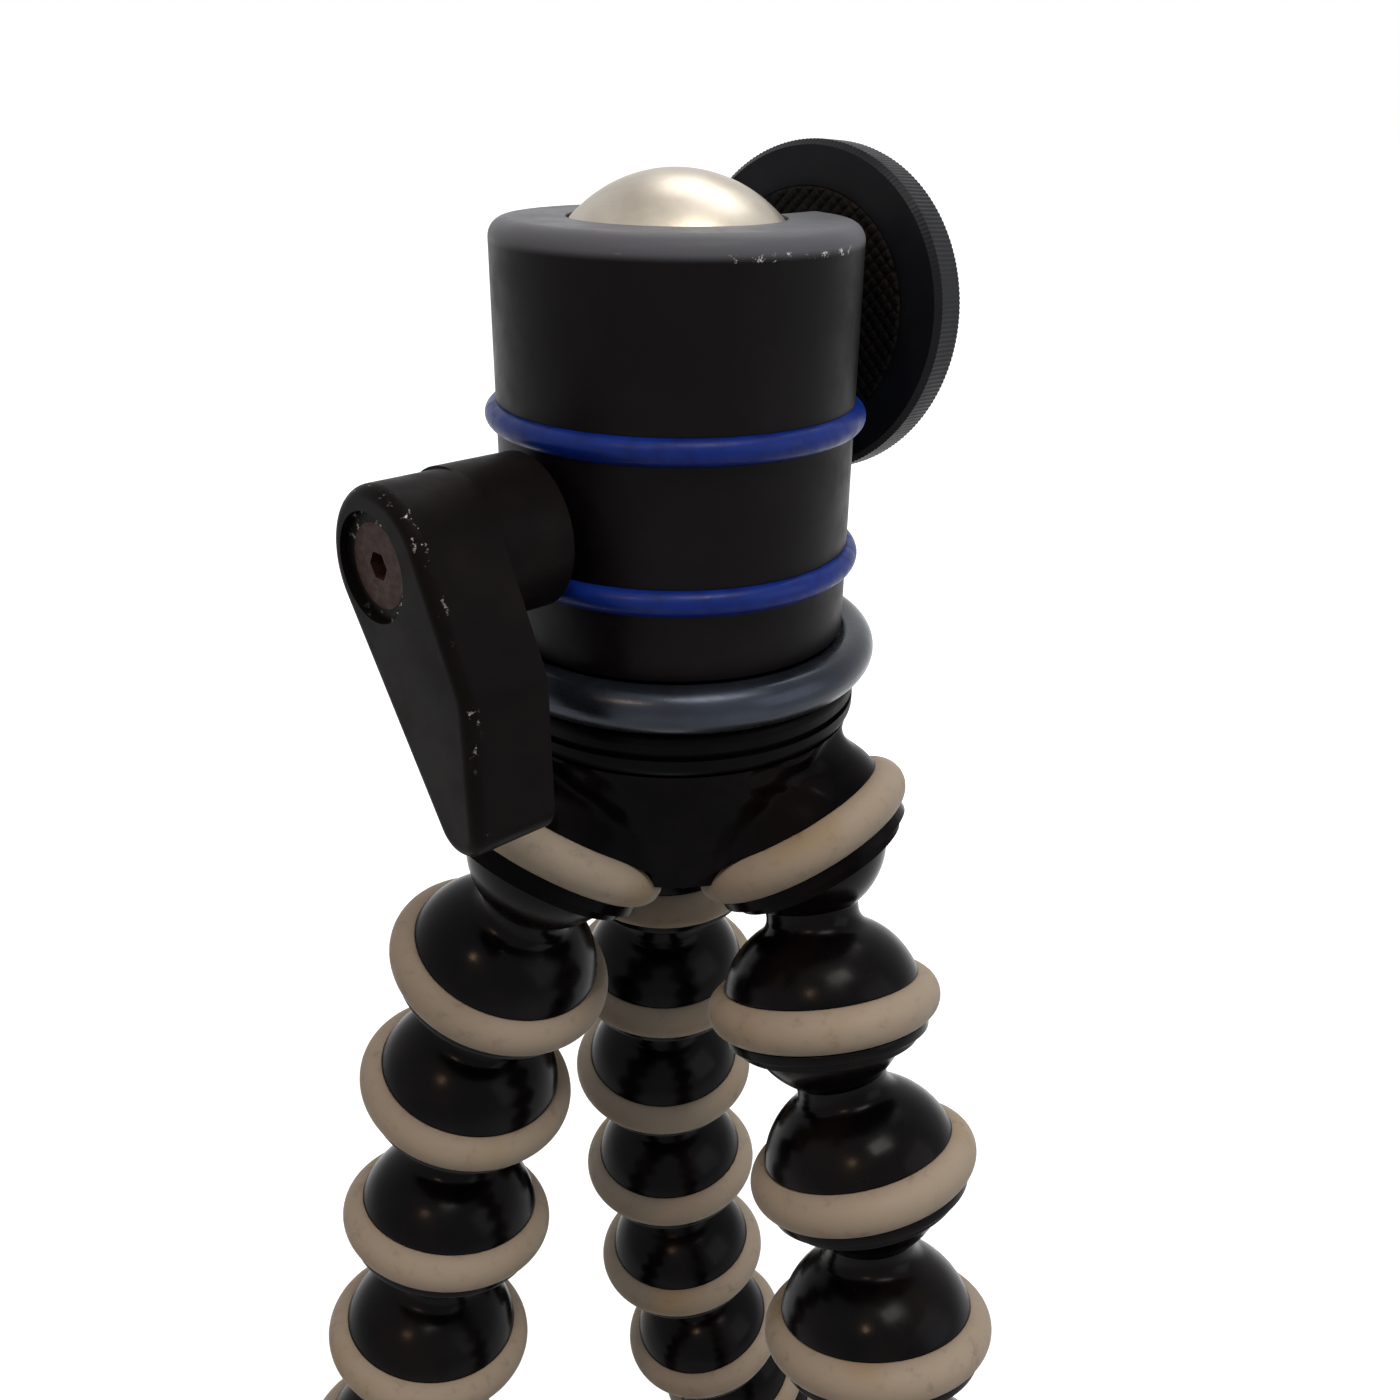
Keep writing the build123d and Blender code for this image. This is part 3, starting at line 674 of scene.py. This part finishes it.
@dataclass
class LegSegment:
    """One joint of a leg: ball, neck, bell, rubber ring, rim and lip round the next ball's socket."""

    plastic: bpy.types.Material
    rubber: bpy.types.Material
    pitch: float = 25.4
    ring_plane: float = 23.9
    ball: float = 11.8
    neck: float = 6.65
    neck_length: float = 1.2
    fillet: float = 2.6
    neck_turn: float = 62.0
    bell: float = 14.0
    bulge: float = 1.0
    seat: float = 12.95
    above: float = 3.1
    below: float = 2.95
    rim: float = 14.6
    lip: float = 13.0
    step: float = 1.5
    cavity: float = 11.95
    corner: float = 0.22
    ring_outer: float = 16.7
    ring_upper: float = 14.1
    ring_lower: float = 14.5
    ring_corner: float = 0.25
    gap: float = 0.05

    def neck_outline(self, bell: float, end: float) -> Outline:
        """Draw the ball, neck and bell.

        Args:
            bell: radius at the bell's end.
            end: height of the bell's end.

        Returns:
            The outline so far.
        """
        start = math.sqrt(self.ball**2 - self.neck**2)
        sweep = 180 - math.degrees(math.asin(self.neck / self.ball))
        line = Outline(0, -self.ball).turn(0, 0, -sweep, steps=30)
        line.last.co = (self.neck, 0, start)
        base = start + self.neck_length
        line.to(self.neck, base)
        root, waist = (
            Vector((self.neck + self.fillet * (1 - math.cos(turn)), base + self.fillet * math.sin(turn)))
            for turn in (math.radians(self.neck_turn), math.radians(self.neck_turn / 2))
        )
        line.through((waist.x, waist.y), (root.x, root.y), steps=8)
        run = Vector((bell, end)) - root
        middle = root + run / 2 + Vector((run.y, -run.x)).normalized() * self.bulge
        return line.through((middle.x, middle.y), (bell, end), steps=16)

    def shell(self) -> bmesh.types.BMesh:
        """Turn the moulded shell.

        Returns:
            The piece's bmesh.
        """
        top, bottom = self.ring_plane - self.above, self.ring_plane + self.below
        line = self.neck_outline(self.bell, top)
        line.to(self.seat, top).to(self.seat, bottom).to(self.rim, bottom).to(self.rim, bottom + self.step)
        line.to(self.lip, bottom + self.step).to(self.lip, bottom + 2 * self.step)
        drop = bottom + 2 * self.step - self.pitch
        mouth = math.sqrt(self.cavity**2 - drop**2)
        line.to(mouth, bottom + 2 * self.step)
        line.turn(0, self.pitch, 180 - math.degrees(math.acos(drop / self.cavity)), steps=14)
        line.last.co = (0, 0, self.pitch - self.cavity)
        return line.soften(self.corner).spun()

    def ring(self) -> bmesh.types.BMesh:
        """Turn the rubber ring.

        Returns:
            The piece's bmesh.
        """
        top, bottom = self.ring_plane - self.above + self.gap, self.ring_plane + self.below - self.gap
        inner = self.seat + self.gap
        line = Outline(inner, top).to(self.ring_upper, top)
        line.through((self.ring_outer, self.ring_plane), (self.ring_lower, bottom), steps=22)
        line.to(inner, bottom).to(inner, top)
        bmesh.ops.remove_doubles(line.mesh, verts=line.mesh.verts, dist=SAME_POINT_MM)
        return line.soften(self.ring_corner).spun()

    def build(self, name: str, node: str, body: str, pivot: Vector, along: Vector) -> None:
        """Make one segment's two pieces in place of its CAD node.

        Args:
            name: start of the pieces' names.
            node: CAD node that they stand for.
            body: CAD body that they ride on.
            pivot: centre of the segment's ball.
            along: direction down the leg.
        """
        place = facing(pivot, along)
        shell = finished(self.shell(), f"{name}_shell", place, self.plastic)
        ring = finished(self.ring(), f"{name}_ring", place, self.rubber)
        for piece, slot in ((shell, "leg_plastic"), (ring, "grip_rubber")):
            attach(piece, body)
            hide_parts(node)


@dataclass
class Foot:
    """The last ball of a leg with its bell, and the ribbed rubber shoe that stands on the floor."""

    segment: LegSegment
    height: float = 30.0
    shoe_height: float = 9.0
    bell: float = 12.6
    shoe: float = 13.6
    spigot: float = 8.0
    spigot_height: float = 4.0
    grooves: int = 2
    groove_pitch: float = 1.8
    groove_depth: float = 0.4
    groove_flank: float = 0.3
    sole_round: float = 3.2
    corner: float = 0.2
    shoe_corner: float = 0.15
    gap: float = 0.05

    def shell(self) -> bmesh.types.BMesh:
        """Turn the foot's ball, neck and bell.

        Returns:
            The piece's bmesh.
        """
        seat = self.height - self.shoe_height
        line = self.segment.neck_outline(self.bell, seat).to(self.spigot, seat)
        line.to(self.spigot, seat + self.spigot_height).to(0, seat + self.spigot_height)
        return line.soften(self.corner).spun()

    def boot(self) -> bmesh.types.BMesh:
        """Turn the shoe, with grooves round its side and a rounded sole.

        Returns:
            The piece's bmesh.
        """
        seat = self.height - self.shoe_height
        floor, bore = seat + self.spigot_height + self.gap, self.spigot + self.gap
        line = Outline(0, floor).to(bore, floor).to(bore, seat).to(self.shoe, seat)
        bottom, flank = self.shoe - self.groove_depth, self.groove_flank
        for i in range(self.grooves):
            z = seat + self.groove_pitch * (i + 1)
            line.to(self.shoe, z).to(bottom, z + flank).to(bottom, z + 2 * flank).to(self.shoe, z + 3 * flank)
        turn, level = self.shoe - self.sole_round, self.height - self.sole_round
        line.to(self.shoe, level).turn(turn, level, -90, steps=10)
        line.last.co = (turn, 0, self.height)
        line.to(0, self.height)
        return line.soften(self.shoe_corner).spun()

    def build(self, leg: Leg, body: str, pivot: Vector) -> None:
        """Make a leg's foot and shoe in place of their CAD nodes.

        Args:
            leg: the leg.
            body: CAD body that they ride on.
            pivot: centre of the foot's ball.
        """
        place = facing(pivot, Vector((0, 0, -1)))
        shell = finished(self.shell(), f"{leg.value}_foot_shell", place, self.segment.plastic)
        boot = finished(self.boot(), f"{leg.value}_foot_boot", place, self.segment.rubber)
        for piece, node, slot in (
            (shell, f"leg_{leg.value}_foot", "leg_plastic"),
            (boot, f"leg_{leg.value}_shoe", "grip_rubber"),
        ):
            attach(piece, body)
            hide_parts(node)


@dataclass
class LegRun:
    """One whole leg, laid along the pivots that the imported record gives."""

    leg: Leg
    segment: LegSegment
    foot: Foot
    count: int = 8

    def build(self, joints: Sequence[dict]) -> None:
        """Make every segment and the foot.

        Args:
            joints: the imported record's joints.
        """
        own = {j["name"]: j for j in joints}
        names = [f"{self.leg.value}_bend_{k}" for k in [*range(1, self.count + 1), "foot"]]
        pivots = [Vector(own[n]["pos_m"]) for n in names]
        for k in range(self.count):
            along = (pivots[k + 1] - pivots[k]).normalized()
            body = own[names[k]]["child"]
            node = f"leg_{self.leg.value}_segment_{k + 1}"
            self.segment.build(f"{self.leg.value}_{k + 1}", node, body, pivots[k], along)
        self.foot.build(self.leg, own[names[-1]]["child"], pivots[-1])
        log.info("leg %s: %d segments and a foot", self.leg.value, self.count)


@dataclass
class PatternedPad:
    """A thin ring of rubber covered in small raised diamonds."""

    outer: float
    inner: float
    thickness: float
    pitch: float = 1.35
    relief: float = 0.3
    cell: float = 0.2
    steepness: float = 1.9
    trim_share: float = 0.6

    def mesh(self) -> bmesh.types.BMesh:
        """Make the ring with its raised face towards +Z, its base at zero.

        Returns:
            The piece's bmesh.
        """
        mesh = bmesh.new()
        count = round(2 * self.outer / self.cell)
        bmesh.ops.create_grid(mesh, x_segments=count, y_segments=count, size=self.outer)
        away = [
            f for f in mesh.faces
            if not self.inner < f.calc_center_median().xy.length < self.outer - self.cell * self.trim_share
        ]
        bmesh.ops.delete(mesh, geom=away, context="FACES")
        base = self.thickness - self.relief
        for v in mesh.verts:
            u = (v.co.x + v.co.y) * math.pi / self.pitch / math.sqrt(2)
            w = (v.co.x - v.co.y) * math.pi / self.pitch / math.sqrt(2)
            v.co.z = base + self.relief * min(1.0, self.steepness * abs(math.sin(u) * math.sin(w)))
        rim = [e for e in mesh.edges if e.is_boundary]
        for v in {v for e in rim for v in e.verts}:
            radius = self.outer if v.co.xy.length > (self.outer + self.inner) / 2 else self.inner
            v.co.xy = v.co.xy.normalized() * radius
            v.co.z = base
        walls = bmesh.ops.extrude_edge_only(mesh, edges=rim)["geom"]
        low = [g for g in walls if isinstance(g, bmesh.types.BMVert)]
        for v in low:
            v.co.z = 0
        floor = [e for e in mesh.edges if e.is_boundary]
        bmesh.ops.bridge_loops(mesh, edges=floor)
        bmesh.ops.recalc_face_normals(mesh, faces=mesh.faces)
        return mesh


@dataclass
class Platform:
    """The round camera platform: knurled disc, patterned pads on both faces and the camera screw."""

    axis: Vector
    origin: Vector
    metal: bpy.types.Material
    rubber: bpy.types.Material
    steel: bpy.types.Material
    radius: float = 22.3
    thickness: float = 6.0
    edge: float = 0.8
    teeth: int = 224
    tooth_depth: float = 0.1
    tooth_points: int = 4
    bore: float = 5.06
    pad_radius: float = 19.5
    pad_bore: float = 7.5
    pad_thickness: float = 1.4
    pad_recess: float = 0.8
    grip_radius: float = 16.3
    grip_bore: float = 6.5
    grip_thickness: float = 1.0
    grip_recess: float = 0.7
    flange: float = 6.4
    flange_height: float = 1.4
    screw: float = 3.175
    screw_length: float = 4.8
    thread_pitch: float = 1.27
    tail: float = 3.0
    tail_length: float = 5.0
    thread_depth: float = 0.5
    thread_runout: float = 0.3
    crest_share: tuple[float, float] = (0.45, 0.55)
    tip: float = 0.9
    tip_step: float = 0.3
    gap: float = 0.05
    corner: float = 0.12
    knurl_band: float = 0.2

    def disc(self) -> bmesh.types.BMesh:
        """Turn the disc and cut the straight knurl into its rim.

        Returns:
            The piece's bmesh.
        """
        floor = self.thickness - self.pad_recess
        grip_in, grip_out = self.grip_bore - self.gap, self.grip_radius + self.gap
        pad_out, flange_out = self.pad_radius + self.gap, self.flange + self.gap
        line = Outline(self.bore, 0).to(grip_in, 0).to(grip_in, self.grip_recess)
        line.to(grip_out, self.grip_recess).to(grip_out, 0)
        line.to(self.radius - self.edge, 0, steps=4).to(self.radius, self.edge)
        line.to(self.radius, self.thickness - self.edge, steps=2).to(self.radius - self.edge, self.thickness)
        line.to(pad_out, self.thickness).to(pad_out, floor)
        line.to(flange_out, floor).to(flange_out, floor - self.flange_height)
        line.to(self.bore, floor - self.flange_height).to(self.bore, 0)
        bmesh.ops.remove_doubles(line.mesh, verts=line.mesh.verts, dist=SAME_POINT_MM)
        mesh = line.soften(self.corner, least=50).spun(self.tooth_points * self.teeth)
        for v in mesh.verts:
            if v.co.xy.length > self.radius - self.knurl_band:
                turn = math.atan2(v.co.y, v.co.x) * self.teeth
                v.co.xy *= 1 - self.tooth_depth * (0.5 - 0.5 * math.cos(turn)) / self.radius
        return mesh

    def bolt(self) -> bmesh.types.BMesh:
        """Turn the camera screw with its thread ridges, flange and tail.

        Returns:
            The piece's bmesh.
        """
        low = self.thickness - self.pad_recess - self.flange_height
        top = self.thickness - self.pad_recess + self.pad_thickness + self.screw_length
        line = Outline(0, low - self.tail_length).to(self.tail, low - self.tail_length).to(self.tail, low)
        line.to(self.flange, low).to(self.flange, low + self.flange_height)
        root, tip = self.screw - self.thread_depth, self.screw - self.tip
        first, last = self.crest_share
        line.to(root, low + self.flange_height)
        z = low + self.flange_height + self.thread_runout
        while z + self.thread_pitch < top - self.thread_runout:
            line.to(root, z).to(self.screw, z + self.thread_pitch * first)
            line.to(self.screw, z + self.thread_pitch * last).to(root, z + self.thread_pitch)
            z += self.thread_pitch
        line.to(tip + self.tip_step, top - self.thread_runout).to(tip, top).to(0, top)
        return line.spun(steps=48)

    def build(self) -> None:
        """Make the platform's four pieces in place of their CAD nodes."""
        place = facing(self.origin, self.axis)
        flipped = facing(self.origin + self.axis * self.grip_recess * MM, -self.axis)
        lifted = facing(self.origin + self.axis * (self.thickness - self.pad_recess) * MM, self.axis)
        grip = PatternedPad(self.grip_radius, self.grip_bore, self.grip_thickness)
        pad = PatternedPad(self.pad_radius, self.pad_bore, self.pad_thickness)
        pieces = (
            ("platform_disc", self.disc(), place, self.metal, "black_metal"),
            ("under_grip", grip.mesh(), flipped, self.rubber, "black_rubber"),
            ("platform_pad", pad.mesh(), lifted, self.rubber, "black_rubber"),
            ("camera_screw", self.bolt(), place, self.steel, "plain_steel"),
        )
        for node, mesh, spot, finish, slot in pieces:
            piece = finished(mesh, f"{node}_look", spot, finish)
            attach(piece, "platform")
            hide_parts(node)
            log.info("platform: %s", node)


@dataclass(frozen=True)
class SoftLamp:
    """One rectangular lamp: place measured from the head and size in metres, power in watts, hex tint."""

    name: str
    spot: tuple[float, float, float]
    size: tuple[float, float]
    power: float
    tint: str


@dataclass
class Studio:
    """Pale floor, white surroundings, soft lamps and the photograph's camera.

    The camera's distance and height are in millimetres, the floor's sizes in metres.
    """

    target: Vector
    focal: float = 1300.0
    frame: float = 1400.0
    pitch: float = 24.986
    roll: float = 0.907
    yaw: float = 1.26
    distance: float = 168.385
    height: float = 36.913
    floor_size: float = 12.0
    floor_glow: float = 0.72
    shadow_reach: tuple[float, float] = (0.15, 0.5)
    white: tuple[float, float, float, float] = (1, 1, 1, 1)
    floor_drop: float = 0.0002
    floor_colour: str = "#8f8f8d"
    shown_floor: str = "#c0c0c0"
    room_colour: str = "#e8ebf0"
    room_light: float = 0.5
    sensor: float = 36.0
    clip: tuple[float, float] = (0.01, 100.0)
    lamps: tuple[SoftLamp, ...] = (
        SoftLamp("above", (0.22, -0.33, 0.95), (0.45, 0.3), 5.4, "#fffaf2"),
        SoftLamp("spot", (-0.35, -0.6, 0.7), (0.06, 0.09), 1.5, "#ffd2ac"),
        SoftLamp("side", (0.8, -0.3, 0.25), (0.6, 0.6), 1.6, "#eef3ff"),
        SoftLamp("back", (0.2, 0.55, 0.85), (0.7, 0.4), 3.2, "#ffffff"),
    )

    def seen(self, tree: bpy.types.NodeTree, plain: Socket, shown: Socket) -> Socket:
        """Show one shader to the camera and in gloss and glass, and another to all other rays.

        Args:
            tree: node tree of the floor or the world.
            plain: shader for the rays that light the object.
            shown: shader that the picture shows.

        Returns:
            The mixed shader.
        """
        path = add(tree, "ShaderNodeLightPath")
        rays = [path.outputs[name] for name in ("Is Camera Ray", "Is Glossy Ray", "Is Transmission Ray")]
        either = add(tree, "ShaderNodeMath", {0: rays[0], 1: rays[1]}, operation="MAXIMUM")
        either = add(tree, "ShaderNodeMath", {0: either.outputs[0], 1: rays[2]}, operation="MAXIMUM")
        return add(tree, "ShaderNodeMixShader", {0: either.outputs[0], 1: plain, 2: shown}).outputs[0]

    def floor(self) -> None:
        """Lay the floor: white where it is lit, and soft grey in the tripod's shadow."""
        mesh = bmesh.new()
        bmesh.ops.create_grid(mesh, x_segments=1, y_segments=1, size=self.floor_size / MM)
        material = bpy.data.materials.new("pale_floor")
        material.use_nodes = True
        tree = material.node_tree
        tree.nodes.clear()
        plain = add(tree, "ShaderNodeBsdfDiffuse", {"Color": colour(self.floor_colour)})
        catching = add(tree, "ShaderNodeBsdfDiffuse", {"Color": colour(self.shown_floor)})
        place = add(tree, "ShaderNodeNewGeometry").outputs["Position"]
        away = add(tree, "ShaderNodeVectorMath", {0: place}, operation="LENGTH").outputs["Value"]
        mapped = Step(*self.shadow_reach, self.floor_glow, 1.0).inputs(away)
        strength = add(tree, "ShaderNodeMapRange", mapped, interpolation_type="SMOOTHSTEP").outputs["Result"]
        glow = add(tree, "ShaderNodeEmission", {"Strength": strength, "Color": self.white})
        shown = add(tree, "ShaderNodeAddShader", {0: catching.outputs[0], 1: glow.outputs[0]})
        mixed = self.seen(tree, plain.outputs[0], shown.outputs[0])
        add(tree, "ShaderNodeOutputMaterial", {"Surface": mixed})
        floor = finished(mesh, "floor", Matrix.Translation((0, 0, -self.floor_drop)), material)

    def world(self) -> None:
        """Set the surroundings: an even pale room that shows as plain white."""
        world = bpy.data.worlds.new("surroundings")
        bpy.context.scene.world = world
        world.use_nodes = True
        tree = world.node_tree
        tree.nodes.clear()
        lit = {"Color": colour(self.room_colour), "Strength": self.room_light}
        plain = add(tree, "ShaderNodeBackground", lit)
        shown = add(tree, "ShaderNodeBackground", {"Color": self.white, "Strength": 1.0})
        mixed = self.seen(tree, plain.outputs[0], shown.outputs[0])
        add(tree, "ShaderNodeOutputWorld", {"Surface": mixed})

    def hang(self, lamp: SoftLamp) -> None:
        """Hang one lamp aimed at the head.

        Args:
            lamp: the lamp.
        """
        data = bpy.data.lights.new(lamp.name, "AREA")
        data.shape = "RECTANGLE"
        data.size, data.size_y = lamp.size
        data.energy = lamp.power
        data.color = colour(lamp.tint)[:3]
        hung = bpy.data.objects.new(lamp.name, data)
        hung.matrix_world = facing(self.target + Vector(lamp.spot), Vector(lamp.spot))
        bpy.context.scene.collection.objects.link(hung)

    def camera(self) -> None:
        """Stand the camera where the photograph was taken from."""
        pitch, roll, yaw = (math.radians(a) for a in (self.pitch, self.roll, self.yaw))
        ahead = Vector((math.sin(yaw) * math.cos(pitch), math.cos(yaw) * math.cos(pitch), -math.sin(pitch)))
        right = Vector((math.cos(yaw), -math.sin(yaw), 0))
        up = right.cross(ahead)
        tilted_right = right * math.cos(roll) + up * math.sin(roll)
        tilted_up = up * math.cos(roll) - right * math.sin(roll)
        data = bpy.data.cameras.new("camera")
        data.sensor_width = self.sensor
        data.lens = self.focal / self.frame * self.sensor
        data.clip_start, data.clip_end = self.clip
        camera = bpy.data.objects.new("camera", data)
        spot = self.target + Vector((0, -self.distance, self.height)) * MM
        axes = Matrix((tilted_right, tilted_up, -ahead)).transposed().to_4x4()
        camera.matrix_world = Matrix.Translation(spot) @ axes
        bpy.context.scene.collection.objects.link(camera)
        bpy.context.scene.camera = camera

    def build(self) -> None:
        """Set the whole studio up."""
        bpy.context.scene.view_settings.view_transform = "Standard"
        self.floor()
        self.world()
        for lamp in self.lamps:
            self.hang(lamp)
        self.camera()
        log.info("studio set up")


@dataclass
class Head:
    """Finishes of the ball head's CAD pieces, which keep their shapes."""

    nodes: dict[str, bpy.types.Object]
    axis_point: Vector
    rim_top: float
    lever_axis: Vector
    lever_face: Vector
    stem: Vector
    ball_centre: Vector

    def dress(self, names: Iterable[str], material: bpy.types.Material) -> None:
        """Give CAD nodes one finish.

        Args:
            names: the nodes.
            material: the finish.
        """
        for name in names:
            data = self.nodes[name].data
            data.materials.clear()
            data.materials.append(material)
        log.info("head: %s on %s", material.name, ", ".join(names))

    def build(self) -> None:
        """Dress every CAD piece that stays in view or inside."""
        up = Vector((0, 0, 1))
        rim = Vector((self.axis_point.x, self.axis_point.y, self.rim_top))
        black = AnodisedAluminium("black_anodised_aluminium", "#060506", "#0c0a0b", gloss=0.03)
        housing = AnodisedAluminium("housing_anodised_painted_sheen", "#0b0809", "#100d0f", rough=0.4)
        lever = AnodisedAluminium("lever_anodised", "#0e0b0b", "#151110", rough=0.4, gloss=0.028)
        grey_blue = AnodisedAluminium(
            "grey_blue_anodised", "#272b33", "#30353f",
            rough=0.27, metal=0.7, gloss=0.3, grain=Grain(0.3, 2, 0.5, 5), depth=0.003,
        )
        # The rim's lighter rubbed top is partly a painted sheen of light from above and partly rubbing wear.
        chipped_rim_with_painted_sheen = ChippedCoat(
            housing, up, rim, below=3.0, above=1.9, side=Vector((0.8, -0.6, 0)), rub=0.95,
        )
        chipped_lever = ChippedCoat(
            lever, self.lever_axis, self.lever_face,
            below=1.8, above=0.15, flake=1.1, amount=0.57, bare="#86827d",
        )
        blue = DyedRubber("blue_rubber", "#0a2570", "#081c5c", rough=0.36)
        slide = DyedRubber("slide_plastic", "#2c2d30", "#242527", rough=0.45)
        washer = DyedRubber("washer_rubber", "#1b1b1c", "#232324", rough=0.6)
        blackened = WornSteel("blackened_steel", "#301d18", "#46302a", metal=0.0, gloss=0.06)
        turned = WornSteel("turned_steel", "#85868a", "#9c9da1", rough=0.3, metal=1.0)
        for names, finish in (
            (["housing"], chipped_rim_with_painted_sheen),
            (["lever"], chipped_lever),
            (["base_plate", "head_base"], black),
            (["lock_ring"], grey_blue),
            (["upper_oring", "lower_oring"], blue),
            (["ball"], TurnedNickel(self.stem, self.ball_centre)),
            (["lever_screw"], blackened),
            (["base_screw", "cam_shaft"], turned),
            (["upper_seat", "pressure_ring", "shaft_bush"], slide),
            (["base_washer"], washer),
        ):
            self.dress(names, finish.material())


def main() -> None:
    """Build the tripod's pieces in order."""
    logging.basicConfig(level=logging.INFO, format="%(name)s %(message)s")
    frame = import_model()
    joints = {j["name"]: j for j in frame["joints"]}
    low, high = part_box("upper_oring")
    ring_centre = (low + high) / 2
    stem = Vector(joints["platform_spin"]["axis"]).normalized()
    ball_centre = Vector(joints["ball_tilt"]["pos_m"])
    lever_axis = Vector(joints["lever_turn"]["axis"]).normalized()
    lever_face = Vector((ring_centre.x, ring_centre.y, 0)) + lever_axis * LEVER_FACE_MM * MM

    plastic = MouldedPlastic().material()
    rubber = GripRubber().material()
    rim_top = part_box("housing")[1].z
    head = Head(frame["nodes"], ring_centre, rim_top, lever_axis, lever_face, stem, ball_centre)
    head.build()
    head.dress(["hub_shell", "hub_cap"], MouldedPlastic("hub_black_plastic", gloss=0.03).material())
    head.dress([f"hub_grip_{leg.value}" for leg in Leg], rubber)

    segment = LegSegment(plastic, rubber)
    foot = Foot(segment)
    for leg in Leg:
        LegRun(leg, segment, foot).build(frame["joints"])

    metal = AnodisedAluminium("platform_anodised", "#15161a", "#1b1c20", rough=0.36, gloss=0.08).material()
    pad = DyedRubber("pad_rubber", "#0a0909", "#14100e", rough=0.55, gloss=0.06).material()
    steel = WornSteel("screw_steel", "#8b8c90", "#a5a6aa", rough=0.28, metal=1.0).material()
    Platform(stem, ball_centre + stem * PLATFORM_DISTANCE_MM * MM, metal, pad, steel).build()

    Studio(ring_centre).build()


if __name__ == "__main__":
    main()
